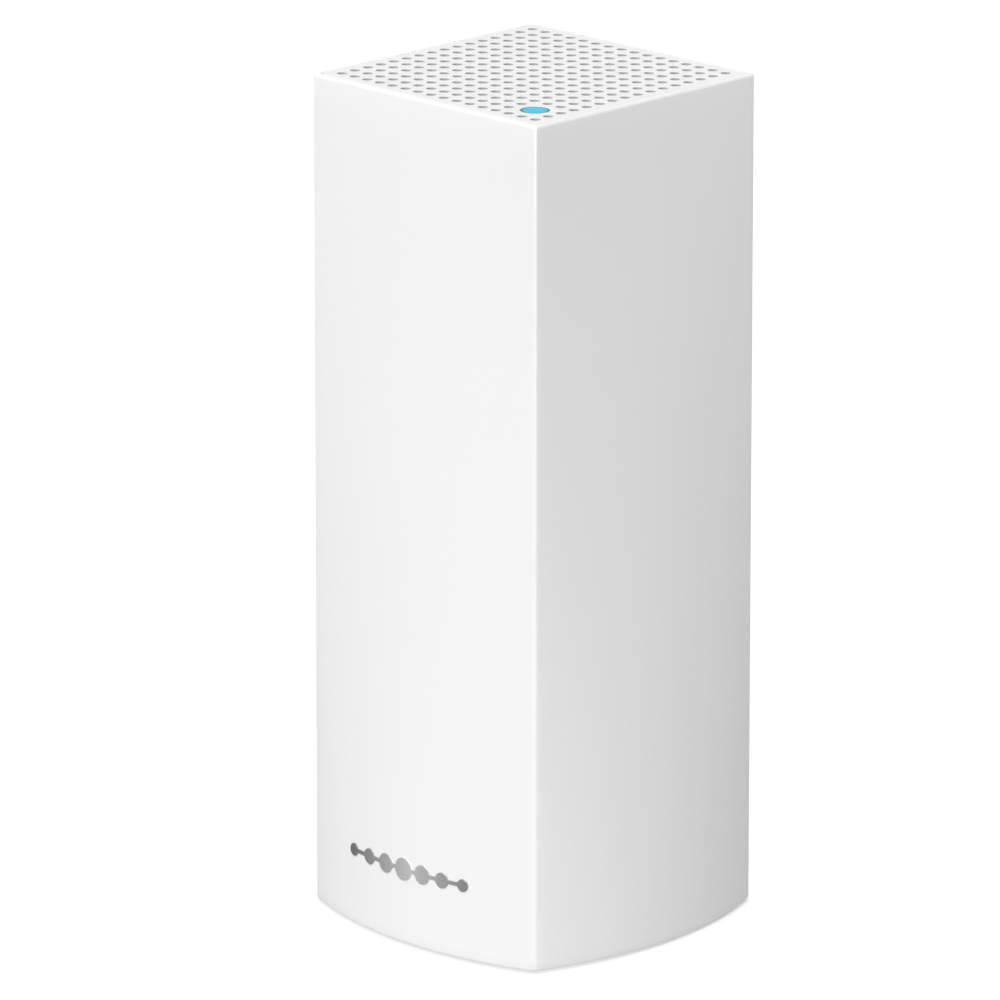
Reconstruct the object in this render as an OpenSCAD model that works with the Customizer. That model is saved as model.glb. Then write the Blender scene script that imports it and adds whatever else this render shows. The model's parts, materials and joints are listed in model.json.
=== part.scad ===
// Mesh wifi node: a square tower whose sides bow out towards the foot.
// Origin on the desk under the middle of the tower, +Z up, front face towards -Y.

/* [Tower] */
// Height of the tower above the desk
tower_h = 185; // [165:1:225]
// Side of the square top
top_side = 66; // [62:0.1:80]
// How much wider the base square is than the top square
draft_w = 0.6; // [0:0.1:2]
// How far each side bows out at the foot
base_bulge = 6.7; // [5:0.1:9]
// Wall of the sleeve
wall = 2; // [1.6:0.1:2.6]
// Radius of the sleeve's softened edges
edge_r = 0.8; // [0.4:0.1:1]

/* [Top grille] */
// Thickness of the grille plate
grille_t = 2; // [1.6:0.1:3]
// Width of the sleeve's rim around the grille
rim_w = 1.2; // [1.1:0.1:1.4]
// Holes along each side of the grille
vent_count = 16; // [12:1:17]
// Diameter of a vent hole
vent_d = 2.2; // [1.6:0.1:2.4]
// Distance from the top's edge to the centre of the outermost holes
vent_margin = 4.4; // [3.8:0.1:5]
// Diameter of the status light
lens_d = 6.2; // [5:0.1:7]

/* [Port bay] */
// Height of the port panel's underside above the desk
bay_h = 38; // [34:1:46]
// Thickness of the port panel
panel_t = 2.5; // [2:0.1:3.5]
// Wall of the bay's skirt
skirt_t = 1.8; // [1.4:0.1:2.4]
// Width of the foot rim around the bay's mouth
foot_rim_w = 6; // [5:0.1:7]
// Thickness of the foot rim
foot_rim_t = 2; // [1.5:0.1:3]
// Width of the cord cut-out at the back
cord_w = 24; // [16:1:26]
// Height of the cord cut-out
cord_h = 12; // [9:1:16]

/* [Feet] */
// Thickness of a foot pad
foot_t = 1; // [0.8:0.1:1.5]
// How far a foot pad stands out of the rim
foot_proud = 0.5; // [0.3:0.1:0.7]
// Width of a foot pad
foot_w = 4; // [3:0.1:4.6]
// Reach of a foot pad along each side of its corner
foot_reach = 15; // [10:1:18]

/* [Ports and controls] */
// Width of a network jack
jack_w = 16; // [15.6:0.1:16.6]
// Depth of a network jack, across the board
jack_d = 13.4; // [13:0.1:14.5]
// Length of a network jack, along the plug
jack_l = 21; // [18:0.1:22]
// Width of a network jack's socket
socket_w = 11.9; // [11.8:0.1:12.2]
// Height of a network jack's socket
socket_d = 7; // [6.8:0.1:7.4]
// Depth of a network jack's socket
socket_l = 13.4; // [12:0.1:14]
// Bore of the power socket
power_bore_d = 6.3; // [5.7:0.1:6.6]
// Diameter of the power socket's centre pin
power_pin_d = 2; // [1.6:0.05:2.1]
// Travel of the power switch
switch_travel = 3.5; // [2:0.1:4.5]
// Diameter of the reset button
reset_d = 3.4; // [2.6:0.1:4]
// Travel of the reset button
reset_travel = 0.5; // [0.3:0.1:0.8]

/* [Electronics] */
// Thickness of the main board
board_t = 1.6; // [1.2:0.1:2]
// Wall of the antenna frame
frame_wall = 1.6; // [1.2:0.1:2.2]
// Length of an antenna plate
antenna_l = 34; // [26:1:36]
// Width of an antenna plate
antenna_w = 20; // [18:0.5:21]
// Fins on each heat sink
fin_count = 9; // [7:2:9]
// Thickness of a heat sink's fins
fin_t = 1.2; // [0.8:0.1:1.5]

/* [Badge] */
// Number of dots on the front badge
dot_count = 7; // [5:2:9]
// Distance between the badge's dots
dot_pitch = 5.5; // [5:0.1:6]
// Diameter of the badge's middle dot
dot_d = 5; // [4:0.1:5.4]
// Height of the badge's middle above the desk
badge_z = 17; // [14:1:30]

/* [Hidden] */
$fn = 48;

fit = 0.25;          // gap between the sleeve and what slides into it
slip = 0.05;         // gap around a piece that is pressed or glued in place
base_side = top_side + draft_w;
arc_r = (base_side * base_side / 4 + base_bulge * base_bulge) / (2 * base_bulge);
side_steps = 16;     // flats along one bowed side
corner_steps = 3;    // points that round a corner
row_step = 24;       // height of one row of facets
soft_steps = 3;      // rows that round the top edge

z_sleeve = foot_proud;
z_panel_top = bay_h + panel_t;
z_grille = tower_h - grille_t;

// --- Tower surface -------------------------------------------------------------------------
// Side of the square at height z, and how far its sides bow out there.
function side_at(z) = base_side + (top_side - base_side) * z / tower_h;
function bow_at(z) = base_bulge * (1 - z / tower_h);
// Share of the bow at v, which runs from -1 at one corner to 1 at the next: an arc of a circle.
function bow_share(v) =
    (sqrt(arc_r * arc_r - pow(v * base_side / 2, 2)) - arc_r + base_bulge) / base_bulge;
// How far the surface stands from the axis at the middle of a side.
function reach_at(z, inset = 0) = side_at(z) / 2 - inset + bow_at(z);
function turned(p, a) = [p[0] * cos(a) - p[1] * sin(a), p[0] * sin(a) + p[1] * cos(a)];
// A point on the front side, moved in by inset.
function side_point(v, z, inset) =
    let (half = side_at(z) / 2 - inset) [half * v, -half - bow_at(z) * bow_share(v)];
function bezier(a, b, c, t) = (1 - t) * (1 - t) * a + 2 * t * (1 - t) * b + t * t * c;
// Horizontal section of the tower at height z: four arcs joined by softened corners.
function outline(z, inset = 0) =
    let (
        v_end = 1 - 2 * edge_r / base_side,
        front = [for (i = [0 : side_steps]) side_point(v_end * (2 * i / side_steps - 1), z, inset)],
        next = turned(front[0], 90),
        tip = side_point(1, z, inset),
        corner = [for (i = [1 : corner_steps])
            bezier(front[side_steps], tip, next, i / (corner_steps + 1))]
    )
    [for (k = [0 : 3]) each [for (p = concat(front, corner)) turned(p, 90 * k)]];
outline_n = 4 * (side_steps + 1 + corner_steps);

// Rows [height, inset] from z0 to z1 at one inset.
function rows(z0, z1, inset) =
    let (n = max(1, ceil(abs(z1 - z0) / row_step))) [for (i = [0 : n]) [z0 + (z1 - z0) * i / n, inset]];
function row_points(list) = [for (r = list) each [for (p = outline(r[0], r[1])) [p[0], p[1], r[0]]]];
function row_faces(i0, i1) = [for (j = [0 : outline_n - 1])
    let (
        k = (j + 1) % outline_n,
        a = i0 * outline_n + j, b = i0 * outline_n + k,
        c = i1 * outline_n + k, d = i1 * outline_n + j
    ) each [[a, c, b], [a, d, c]]];

// A wall that follows the tower: the list of rows closes on itself.
module ring_stack(list) {
    n = len(list);
    polyhedron(
        points = row_points(list),
        faces = [for (i = [0 : n - 1]) each row_faces(i, (i + 1) % n)],
        convexity = 6
    );
}

// A solid that follows the tower: the first row is capped facing down, the last facing up.
module capped_stack(list) {
    n = len(list);
    polyhedron(
        points = row_points(list),
        faces = concat(
            [for (i = [0 : n - 2]) each row_faces(i, i + 1)],
            [[for (j = [0 : outline_n - 1]) j]],
            [[for (j = [outline_n - 1 : -1 : 0]) (n - 1) * outline_n + j]]
        ),
        convexity = 6
    );
}

// --- Shared shapes -------------------------------------------------------------------------
// A box from one corner to the opposite one.
module block(low, high) {
    translate(low) cube(high - low);
}

// A box centred on x and y, standing on z0.
module slab(x, y, z0, size) {
    translate([x - size[0] / 2, y - size[1] / 2, z0]) cube(size);
}

module round_rect(w, h, r) {
    square([w - 2 * r, h], center = true);
    square([w, h - 2 * r], center = true);
    for (x = [-1, 1], y = [-1, 1]) translate([x * (w / 2 - r), y * (h / 2 - r)]) circle(r);
}

// Rod of round section through a list of points.
module rod(path, r) {
    for (i = [0 : len(path) - 2]) {
        run = path[i + 1] - path[i];
        length = norm(run);
        translate(path[i])
            rotate([0, acos(run[2] / length), atan2(run[1], run[0])])
                cylinder(r = r, h = length, $fn = 24);
    }
    for (i = [1 : len(path) - 2]) translate(path[i]) sphere(r, $fn = 24);
}

// Screw whose head's outer face is at the origin; the shank runs along +Z.
module screw(head_r, head_h, shank_r, length) {
    difference() {
        union() {
            cylinder(r = head_r, h = head_h);
            cylinder(r = shank_r, h = head_h + length);
        }
        for (a = [0, 90]) rotate(a)
            translate([-head_r * 0.55, -head_h * 0.14, -1]) cube([head_r * 1.1, head_h * 0.28, 1 + head_h * 0.6]);
    }
}

// --- Sleeve and grille -------------------------------------------------------------------
hook_w = 9;
hook_h = 2;
hook_z = bay_h - 9;
hook_bite = 0.6;     // how far a hook reaches into the sleeve's wall
hook_room = 0.2;

// Hooks on the bay's skirt, and with grow the pockets that they snap into.
module hooks(grow = 0) {
    root = reach_at(hook_z, wall + fit) - skirt_t / 2;
    for (a = [0 : 90 : 270]) rotate(a)
        block(
            [-hook_w / 2 - grow, -reach_at(hook_z, wall) - hook_bite - grow, hook_z - grow],
            [hook_w / 2 + grow, -root, hook_z + hook_h + grow]
        );
}

cord_corner_r = 3;
cut_past = 5;        // how far the cord cut-out runs past the sleeve and below the desk
module cord_cut_out() {
    depth = reach_at(0) + cut_past;
    tall = cord_h + cut_past + cord_corner_r;
    translate([0, depth, 0]) rotate([90, 0, 0])
        linear_extrude(depth / 2)
            translate([0, cord_h - tall / 2])
                round_rect(cord_w, tall, cord_corner_r);
}

foot_edge = 0.4;     // chamfer of the sleeve's lower edge
module outer_sleeve() {
    top_edge = [for (i = [0 : soft_steps]) let (a = 90 * i / soft_steps)
        [tower_h - edge_r * (1 - sin(a)), edge_r * (1 - cos(a))]];
    color("white") difference() {
        ring_stack(concat(
            [[z_sleeve, foot_edge]],
            rows(z_sleeve + foot_edge, tower_h - edge_r - 1, 0),
            top_edge,
            [[tower_h, rim_w], [z_grille, rim_w]],
            rows(z_grille, z_sleeve, wall)
        ));
        hooks(hook_room);
        cord_cut_out();
    }
}

vent_pitch = (top_side - 2 * vent_margin) / (vent_count - 1);
vent_start = top_side / 2 - vent_margin;
// The status light stands one and a half pitches in from the corner hole, at the front right.
lens_x = vent_start - 1.5 * vent_pitch;
lens_y = -lens_x;
vent_web = 0.5;      // least wall between a vent hole and the status light
function vent_at(i, j) = [vent_start - i * vent_pitch, -vent_start + j * vent_pitch];
function vent_open(p) = norm(p - [lens_x, lens_y]) > (lens_d + vent_d) / 2 + vent_web;

module top_grille() {
    half = side_at(tower_h) / 2 - rim_w - slip;
    corner_r = edge_r + 0.2;
    color("white") translate([0, 0, z_grille]) linear_extrude(grille_t) difference() {
        round_rect(2 * half, 2 * half, corner_r);
        for (i = [0 : vent_count - 1], j = [0 : vent_count - 1])
            if (vent_open(vent_at(i, j))) translate(vent_at(i, j)) circle(d = vent_d, $fn = 24);
        translate([lens_x, lens_y]) circle(d = lens_d + 2 * slip);
    }
}

// --- Badge: a row of dots that grow towards the middle, joined by a thin bar -----------------
badge_t = 0.25;
badge_glue = 0.03;
badge_bar = 0.9;
dot_step = 0.75;     // how much smaller each dot is than its inner neighbour
module front_badge() {
    last = (dot_count - 1) / 2;
    half_h = dot_d / 2 + 1;
    depth = reach_at(0) + 2;
    color("silver") intersection() {
        translate([0, 0, badge_z]) rotate([90, 0, 0]) linear_extrude(depth) {
            for (i = [-last : last])
                translate([i * dot_pitch, 0]) circle(d = dot_d - dot_step * abs(i));
            square([2 * last * dot_pitch, badge_bar], center = true);
        }
        ring_stack(concat(
            rows(badge_z - half_h, badge_z + half_h, -badge_t - badge_glue),
            rows(badge_z + half_h, badge_z - half_h, -badge_glue)
        ));
    }
}

// --- Port bay: panel, skirt and foot rim in one moulding --------------------------------------
skirt_in = wall + fit + skirt_t;
rim_in = wall + fit + foot_rim_w;
port_gap = 0.25;     // gap around a jack in the panel
jack_gap = 1.4;      // space between the two network jacks
jack_x = (jack_w + jack_gap) / 2;
board_face = board_t / 2;
control_y = 7;       // distance of the power socket and the controls behind the board's middle
power_x = -17;
switch_x = 1;
reset_x = 17;
power_nose_r = 4.4;
slider_w = 4;
slider_d = 2.8;
slot_gap = 0.3;
reset_gap = 0.2;
base_screw_at = 24;
base_shank_r = 1.4;
base_head_r = 2.6;
base_head_h = 1.4;
screw_gap = 0.1;
intake_w = 1.6;
intake_l = 9;
intake_pitch = 3.6;
intake_y = 20.5;
intake_n = 10;
label_size = [30, 9, 0.1];
label_y = -21.5;

module foot_outline(sx, sy, grow) {
    inner = base_side / 2 - foot_reach;
    intersection() {
        difference() {
            polygon(outline(0, foot_inset - grow));
            polygon(outline(0, foot_inset + foot_w + grow));
        }
        translate([sx > 0 ? inner - grow : -base_side, sy > 0 ? inner - grow : -base_side])
            square(base_side - inner + grow);
    }
}
foot_inset = wall + fit + (foot_rim_w - foot_w) / 2;
pocket_gap = 0.1;

module base_pan() {
    color("gainsboro") difference() {
        union() {
            capped_stack(concat(
                rows(bay_h, z_sleeve + foot_rim_t, skirt_in),
                rows(z_sleeve + foot_rim_t, z_sleeve, rim_in),
                rows(z_sleeve, z_panel_top, wall + fit)
            ));
            hooks();
        }
        cord_cut_out();
        block(
            [-jack_x - jack_w / 2 - port_gap, -board_face - jack_d - port_gap, bay_h - 1],
            [jack_x + jack_w / 2 + port_gap, -board_face + port_gap, z_panel_top + 1]
        );
        translate([power_x, control_y, bay_h - 1]) cylinder(r = power_nose_r + port_gap, h = panel_t + 2);
        slab(switch_x, control_y, bay_h - 1,
            [slider_w + switch_travel + 2 * slot_gap, slider_d + 2 * slot_gap, panel_t + 2]);
        translate([reset_x, control_y, bay_h - 1]) cylinder(d = reset_d + 2 * reset_gap, h = panel_t + 2);
        for (x = [-1, 1], y = [-1, 1]) translate([x * base_screw_at, y * base_screw_at, bay_h - 1]) {
            cylinder(r = base_shank_r + screw_gap, h = panel_t + 2);
            cylinder(r = base_head_r + 2 * screw_gap, h = 1 + base_head_h);
        }
        for (i = [0 : intake_n - 1])
            slab((i - (intake_n - 1) / 2) * intake_pitch, intake_y, bay_h - 1, [intake_w, intake_l, panel_t + 2]);
        for (x = [-1, 1], y = [-1, 1]) translate([0, 0, -1])
            linear_extrude(foot_t + 1) foot_outline(x, y, pocket_gap);
    }
}

module foot_pad(sx, sy) {
    color("dimgray") linear_extrude(foot_t) foot_outline(sx, sy, 0);
}

boss_h = 10;
module base_screws() {
    for (x = [-1, 1], y = [-1, 1]) color("silver")
        translate([x * base_screw_at, y * base_screw_at, bay_h])
            screw(base_head_r, base_head_h, base_shank_r, boss_h - 1);
}

module rating_label() {
    color("whitesmoke") slab(0, label_y, bay_h - label_size[2], label_size);
}

// --- Antenna frame: a cage that holds the boards, the sinks and the antennas ------------------
antenna_t = 0.8;
antenna_gap = 0.8;   // gap between an antenna and the sleeve
frame_half = top_side / 2 - wall - antenna_gap - antenna_t;
frame_in = frame_half - frame_wall;
frame_floor_t = 2;
led_room = 9;        // space between the frame's top and the grille
z_frame_floor = z_panel_top + frame_floor_t;
z_frame_top = z_grille - led_room;
frame_lid_t = 2;
z_lid = z_frame_top - frame_lid_t;
board_gap = 0.3;
board_half = frame_in - board_gap;
z_board = z_frame_floor + 1.5;
z_board_top = z_lid - 2;
rail_d = 2.3;
rail_gap = 0.15;
rail_w = 1.6;
port_open_x = 24.5;
port_open_y = 16;
lid_open = frame_half - 9.2;
gusset = 19;         // side of the corner plate under the status light
window_rows = 3;
window_w = 17;
window_off = 5;      // distance of a window from the middle of its side
window_bar = 6;      // bar between two windows
z_window = z_frame_floor + boss_h + 1;
window_l = (z_lid - 4 - z_window - (window_rows - 1) * window_bar) / window_rows;
function window_z(row) = z_window + row * (window_l + window_bar);
boss_r = 3;
post_r = 2.2;
post_gap = 0.2;

module antenna_frame() {
    color("lightgray") difference() {
        union() {
            difference() {
                block([-frame_half, -frame_half, z_panel_top], [frame_half, frame_half, z_frame_top]);
                block([-frame_in, -frame_in, z_frame_floor], [frame_in, frame_in, z_lid]);
                block([-port_open_x, -port_open_y, z_panel_top - 1], [port_open_x, port_open_y, z_frame_floor + 1]);
                block([-lid_open, -lid_open, z_lid - 1], [lid_open, lid_open, z_frame_top + 1]);
                for (a = [0 : 90 : 270], s = [-1, 1], row = [0 : window_rows - 1]) rotate(a)
                    translate([s * (window_off + window_w / 2) - window_w / 2, -frame_half - 1, window_z(row)])
                        cube([window_w, frame_wall + 2, window_l]);
            }
            block([frame_half - gusset, -frame_half, z_lid], [frame_half, gusset - frame_half, z_frame_top]);
            for (x = [-1, 1], y = [-1, 1])
                translate([x * base_screw_at, y * base_screw_at, z_frame_floor - 1]) cylinder(r = boss_r, h = boss_h);
            for (p = [[-1, -1], [-1, 1], [1, 1]])
                translate([p[0], p[1], 0] * (frame_half - post_r - 1) + [0, 0, z_frame_top - 1])
                    cylinder(r = post_r, h = led_room + 1 - post_gap);
            for (a = [0, 180]) rotate(a) {
                for (y = [board_face + rail_gap, -board_face - rail_gap - rail_w])
                    block([frame_in - rail_d, y, z_frame_floor - 1], [frame_in + 0.5, y + rail_w, z_lid + 1]);
                block([frame_in - rail_d, -board_face - 1, z_frame_floor - 1], [frame_in + 0.5, board_face + 1, z_board]);
            }
        }
        for (x = [-1, 1], y = [-1, 1])
            translate([x * base_screw_at, y * base_screw_at, z_panel_top - 1])
                cylinder(r = base_shank_r + screw_gap / 2, h = boss_h + frame_floor_t - 0.5);
        translate([led_screw_x, led_screw_y, z_lid - 1]) cylinder(r = led_shank_r + screw_gap / 2, h = frame_lid_t + 2);
    }
}

// Where each antenna sits: [turn of its side, column (-1 or 1), window row].
// The side at turn 0 is the front; 90 is the right, 180 the rear and 270 the left.
site_left_front = [270, 1, 2];
site_left_rear = [270, -1, 0];
site_right_front = [90, -1, 1];
site_right_rear = [90, 1, 2];
site_front = [0, -1, 1];
site_rear = [180, -1, 1];
function site_mid(s) = s[1] * (window_off + window_w / 2);
function site_z(s) = window_z(s[2]) + window_l / 2;

module antenna(site) {
    color("darkgreen") rotate(site[0]) difference() {
        translate([site_mid(site) - antenna_w / 2, -frame_half - antenna_t, site_z(site) - antenna_l / 2])
            cube([antenna_w, antenna_t, antenna_l]);
        for (s = [-1, 1])
            translate([site_mid(site) + s * antenna_w * 0.28, -frame_half + 1, site_z(site) + antenna_l * 0.22])
                rotate([90, 0, 0]) cylinder(d = antenna_w * 0.14, h = antenna_t + 2);
    }
}

// --- Main board and what is on it -------------------------------------------------------------
can_h = 2;
pad_t = 1;
chip_h = 1;
sink_half = frame_in - rail_d - 1.2;
sink_face = board_face + can_h + pad_t;
sink_base = 3;
fin_h = 12.5;
z_sink = z_panel_top + jack_l + 10;
z_sink_top = z_board_top - 4.5;
fin_pitch = (2 * sink_half - fin_t) / (fin_count - 1);
sink_screw_x = sink_half - fin_t / 2 - fin_pitch / 2;
sink_screw_in = 3;   // distance of a sink screw from the sink's end
sink_shank_r = 1.1;
sink_head_r = 1.9;
sink_head_h = 1.3;
can_half = sink_screw_x - sink_shank_r - 1.5;
can_in = 2 * sink_screw_in;
can_gap = 6;
can_wall = 0.3;
can_l = (z_sink_top - z_sink - 2 * can_in - can_gap) / 2;
z_can_lower = z_sink + can_in;
z_can_upper = z_can_lower + can_l + can_gap;
z_can_mid = z_can_upper - can_gap / 2;
rear_can_l = 48;
rear_can_z = z_can_mid - rear_can_l / 2;

module main_board() {
    color("darkgreen") difference() {
        block([-board_half, -board_face, z_board], [board_half, board_face, z_board_top]);
        for (x = [-1, 1], z = [z_sink + sink_screw_in, z_sink_top - sink_screw_in])
            translate([x * sink_screw_x, board_t, z]) rotate([90, 0, 0])
                cylinder(r = sink_shank_r + screw_gap, h = 2 * board_t);
    }
}

// A chip on the board: side 1 is the rear, -1 the front.
module chip(side, x, z, w, l, h) {
    translate([x, side * (board_face + h / 2), z]) cube([w, h, l], center = true);
}

module processor() {
    color("black") chip(1, 0, z_can_mid, 14, 14, chip_h);
}

module memory_chips() {
    color("black") for (s = [-1, 1]) chip(1, 0, z_can_mid + s * 15, 12, 8, chip_h);
}

module radio_chips() {
    color("black") {
        chip(-1, -5, z_can_lower + can_l / 2, 12, 12, chip_h);
        chip(-1, 5, z_can_upper + can_l / 2, 10, 10, chip_h);
        for (z = [z_can_lower, z_can_upper], s = [-1, 1])
            chip(-1, s * (can_half - 5), z + can_l * 0.82, 4, 4, chip_h);
    }
}

// Pressed tin lid over a group of chips.
module shield_can(side, z, l) {
    color("silver") difference() {
        chip(side, 0, z + l / 2, 2 * can_half, l, can_h);
        chip(side, 0, z + l / 2, 2 * (can_half - can_wall), l - 2 * can_wall, can_h - can_wall);
    }
}

module thermal_pad(side, z, l) {
    color("lightsteelblue")
        translate([0, side * (board_face + can_h + pad_t / 2), z + l / 2])
            cube([2 * can_half - 4, pad_t, l - 4], center = true);
}

// Finned plate; side 1 is the rear, -1 the front.
module heat_sink(side) {
    color("gray") difference() {
        translate([0, 0, z_sink]) linear_extrude(z_sink_top - z_sink) mirror([0, side > 0 ? 0 : 1]) {
            translate([-sink_half, sink_face]) square([2 * sink_half, sink_base]);
            for (i = [0 : fin_count - 1])
                translate([-sink_half + i * fin_pitch, sink_face + sink_base - 0.5])
                    square([fin_t, fin_h + 0.5]);
        }
        for (x = [-1, 1], z = [z_sink + sink_screw_in, z_sink_top - sink_screw_in])
            translate([x * sink_screw_x, side * (sink_face - 1), z]) rotate([-side * 90, 0, 0])
                cylinder(r = sink_shank_r + screw_gap, h = sink_base + 2);
    }
}

// Four screws that clamp both sinks on the board, driven from the front.
module heat_sink_screws() {
    reach = sink_face + sink_base;
    color("silver") for (x = [-1, 1], z = [z_sink + sink_screw_in, z_sink_top - sink_screw_in])
        translate([x * sink_screw_x, -reach - sink_head_h, z]) rotate([-90, 0, 0])
            screw(sink_head_r, sink_head_h, sink_shank_r, 2 * reach);
}

module lan_transformers() {
    color("black") for (s = [-1, 1]) chip(-1, s * jack_x, z_panel_top + jack_l + 3, 13, 7, 4);
}

capacitor_r = 4;
capacitor_h = 10;
capacitor_z = z_panel_top + 20;
module capacitors() {
    color("darkslategray") for (x = [-17, -7])
        translate([x, board_face, capacitor_z]) rotate([-90, 0, 0]) cylinder(r = capacitor_r, h = capacitor_h);
}

module power_inductor() {
    color("dimgray") translate([6, board_face, capacitor_z]) rotate([-90, 0, 0])
        linear_extrude(4) round_rect(8, 8, 2);
}

// --- Antenna leads: from each antenna to its socket at the top of the board --------------------
lead_r = 0.6;
z_sockets = (z_sink_top + z_board_top) / 2 + 0.5;
socket_size = 2.6;
socket_h = 1.2;
// [x of the socket, board side]
plug_left_front = [-20, -1];
plug_left_rear = [-20, 1];
plug_right_front = [20, -1];
plug_right_rear = [11, 1];
plug_front = [-8, -1];
plug_rear = [2, 1];
SOCKETS = [plug_left_front, plug_left_rear, plug_right_front, plug_right_rear, plug_front, plug_rear];

module antenna_sockets() {
    color("gold") for (p = SOCKETS) chip(p[1], p[0], z_sockets, socket_size, socket_size, socket_h);
}

// Path of a lead: out of the antenna's back, up the channel beside the sinks, over to the socket.
function lead_path(site, plug, in) =
    let (
        feed = turned([site_mid(site), -frame_half], site[0]),
        channel = turned([site_mid(site), -frame_half + in], site[0]),
        side = plug[1] * (board_face + socket_h)
    )
    [
        [feed[0], feed[1], site_z(site)],
        [channel[0], channel[1], site_z(site)],
        [channel[0], channel[1], z_sockets],
        [plug[0], channel[1], z_sockets],
        [plug[0], side, z_sockets]
    ];
lead_in = frame_wall + 1.6;      // depth of the side channels inside the frame's outer face

module lead(site, plug) {
    color("black") rod(lead_path(site, plug, lead_in), lead_r);
}

// --- Network jacks ------------------------------------------------------------------------------
shell_t = 0.25;
socket_wall = 2.2;   // wall between a socket and the board
latch_w = 6.2;
latch_d = 1.7;
latch_tip_w = 4;
latch_tip_d = 1.3;

// In a jack's own frame the mouth is at z = 0 facing down and the board is at y = 0.
module at_jack(side) {
    translate([side * jack_x, -board_face, bay_h]) children();
}

module jack(side) {
    body_w = jack_w - 2 * shell_t - 2 * slip;
    body_d = jack_d - shell_t - slip;
    latch_y = -socket_wall - socket_d;
    color("black") at_jack(side) difference() {
        block([-body_w / 2, -body_d, 0], [body_w / 2, 0, jack_l - shell_t - slip]);
        block([-socket_w / 2, latch_y, -1], [socket_w / 2, -socket_wall, socket_l]);
        block([-latch_w / 2, latch_y - latch_d, -1], [latch_w / 2, latch_y + 1, socket_l]);
        block([-latch_tip_w / 2, latch_y - latch_d - latch_tip_d, -1], [latch_tip_w / 2, latch_y, socket_l]);
    }
}

// Folded tin shell around three sides and the closed end of a jack.
module jack_shield(side) {
    color("silver") at_jack(side) difference() {
        block([-jack_w / 2, -jack_d, 0.3], [jack_w / 2, 0, jack_l]);
        block([-jack_w / 2 + shell_t, -jack_d + shell_t, -1], [jack_w / 2 - shell_t, 1, jack_l - shell_t]);
    }
}

contact_pitch = 1.02;
contact_w = 0.4;
contact_t = 0.3;
contact_z = 3;
contact_rise = 7.5;
contact_lean = 16;
module jack_contacts(side) {
    color("gold") at_jack(side) for (i = [0 : 7]) translate([(i - 3.5) * contact_pitch - contact_w / 2, 0, 0]) {
        block([0, -socket_wall - contact_t, contact_z], [contact_w, -socket_wall, socket_l]);
        translate([0, -socket_wall, contact_z]) rotate([contact_lean, 0, 0])
            block([0, -contact_t, 0], [contact_w, 0, contact_rise]);
    }
}

// --- Power socket, power switch and reset button --------------------------------------------------
lift = 0.2;          // gap between the panel and the bodies above it
power_bore_l = 10;
power_body = [9, 11, 14];
power_pin_in = 1;    // distance of the pin's tip inside the mouth
power_tail_d = 1;
power_tail_l = 3;
module power_jack() {
    color("black") translate([power_x, control_y, bay_h]) difference() {
        union() {
            cylinder(r = power_nose_r, h = panel_t + 1);
            block(
                [-power_body[0] / 2, board_face - control_y, panel_t + lift],
                [power_body[0] / 2, power_body[1] + board_face - control_y, panel_t + lift + power_body[2]]
            );
        }
        translate([0, 0, -1]) cylinder(d = power_bore_d, h = power_bore_l + 1);
        cylinder(d = power_tail_d + slip, h = power_bore_l + power_tail_l);
    }
}

// The centre pin stands on the socket's floor and is held by its thinner tail.
module power_jack_pin() {
    tip = 0.5;
    color("silver") translate([power_x, control_y, bay_h + power_pin_in]) {
        cylinder(d1 = power_pin_d * 0.6, d2 = power_pin_d, h = tip);
        translate([0, 0, tip]) cylinder(d = power_pin_d, h = power_bore_l - power_pin_in - tip);
        cylinder(d = power_tail_d, h = power_bore_l + power_tail_l - power_pin_in);
    }
}

switch_size = [12.5, 6.4, 6];
slider_out = 2.4;    // how far the slider stands out of the panel
slider_up = 3.4;     // how far it reaches into the switch
z_switch = z_panel_top + lift;
slider_ridge = 0.25;
module switch_body() {
    room = [slider_w + switch_travel + 2 * slot_gap, slider_d + 2 * slot_gap];
    color("silver") difference() {
        slab(switch_x, control_y, z_switch, switch_size);
        slab(switch_x, control_y, z_switch - 1, [room[0], room[1], slider_up + 1 + slot_gap]);
    }
    color("silver") for (x = [-4, 0, 4])
        block([switch_x + x - 0.4, board_face, z_switch + switch_size[2] - 1.5],
              [switch_x + x + 0.4, control_y - switch_size[1] / 2, z_switch + switch_size[2] - 1]);
}

module power_slider() {
    x = switch_x - switch_travel / 2;
    color("black") difference() {
        slab(x, control_y, bay_h - slider_out, [slider_w, slider_d, slider_out + panel_t + lift + slider_up]);
        for (i = [-1 : 1]) translate([x + i * 1.1, control_y, bay_h - slider_out])
            cube([0.4, slider_d + 1, 2 * slider_ridge], center = true);
    }
}

reset_in = 0.4;      // how far the button's face lies inside the panel
reset_flange = 0.8;
reset_flange_d = reset_d + 1.6;
plunger_d = 3;
reset_body = [6.2, 6.2, 3.8];
z_plunger = z_panel_top + lift + reset_flange;
z_reset = z_plunger + reset_travel + 1.8;
plunger_up = 1.6;
module reset_button() {
    color("red") translate([reset_x, control_y, 0]) {
        translate([0, 0, bay_h + reset_in]) cylinder(d = reset_d, h = z_panel_top + lift + 0.2 - bay_h - reset_in);
        translate([0, 0, z_panel_top + lift]) cylinder(d = reset_flange_d, h = reset_flange);
    }
}

module reset_plunger() {
    color("black") translate([reset_x, control_y, z_plunger])
        cylinder(d = plunger_d, h = z_reset + plunger_up - z_plunger);
}

module reset_switch_body() {
    color("silver") difference() {
        union() {
            slab(reset_x, control_y, z_reset, reset_body);
            block([reset_x - 2.5, board_face, z_reset + reset_body[2] - 1],
                  [reset_x + 2.5, control_y - reset_body[1] / 2 + 0.5, z_reset + reset_body[2]]);
        }
        translate([reset_x, control_y, z_reset - 1])
            cylinder(d = plunger_d + 2 * reset_gap, h = 1 + plunger_up + reset_travel + reset_gap);
    }
}

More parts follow.
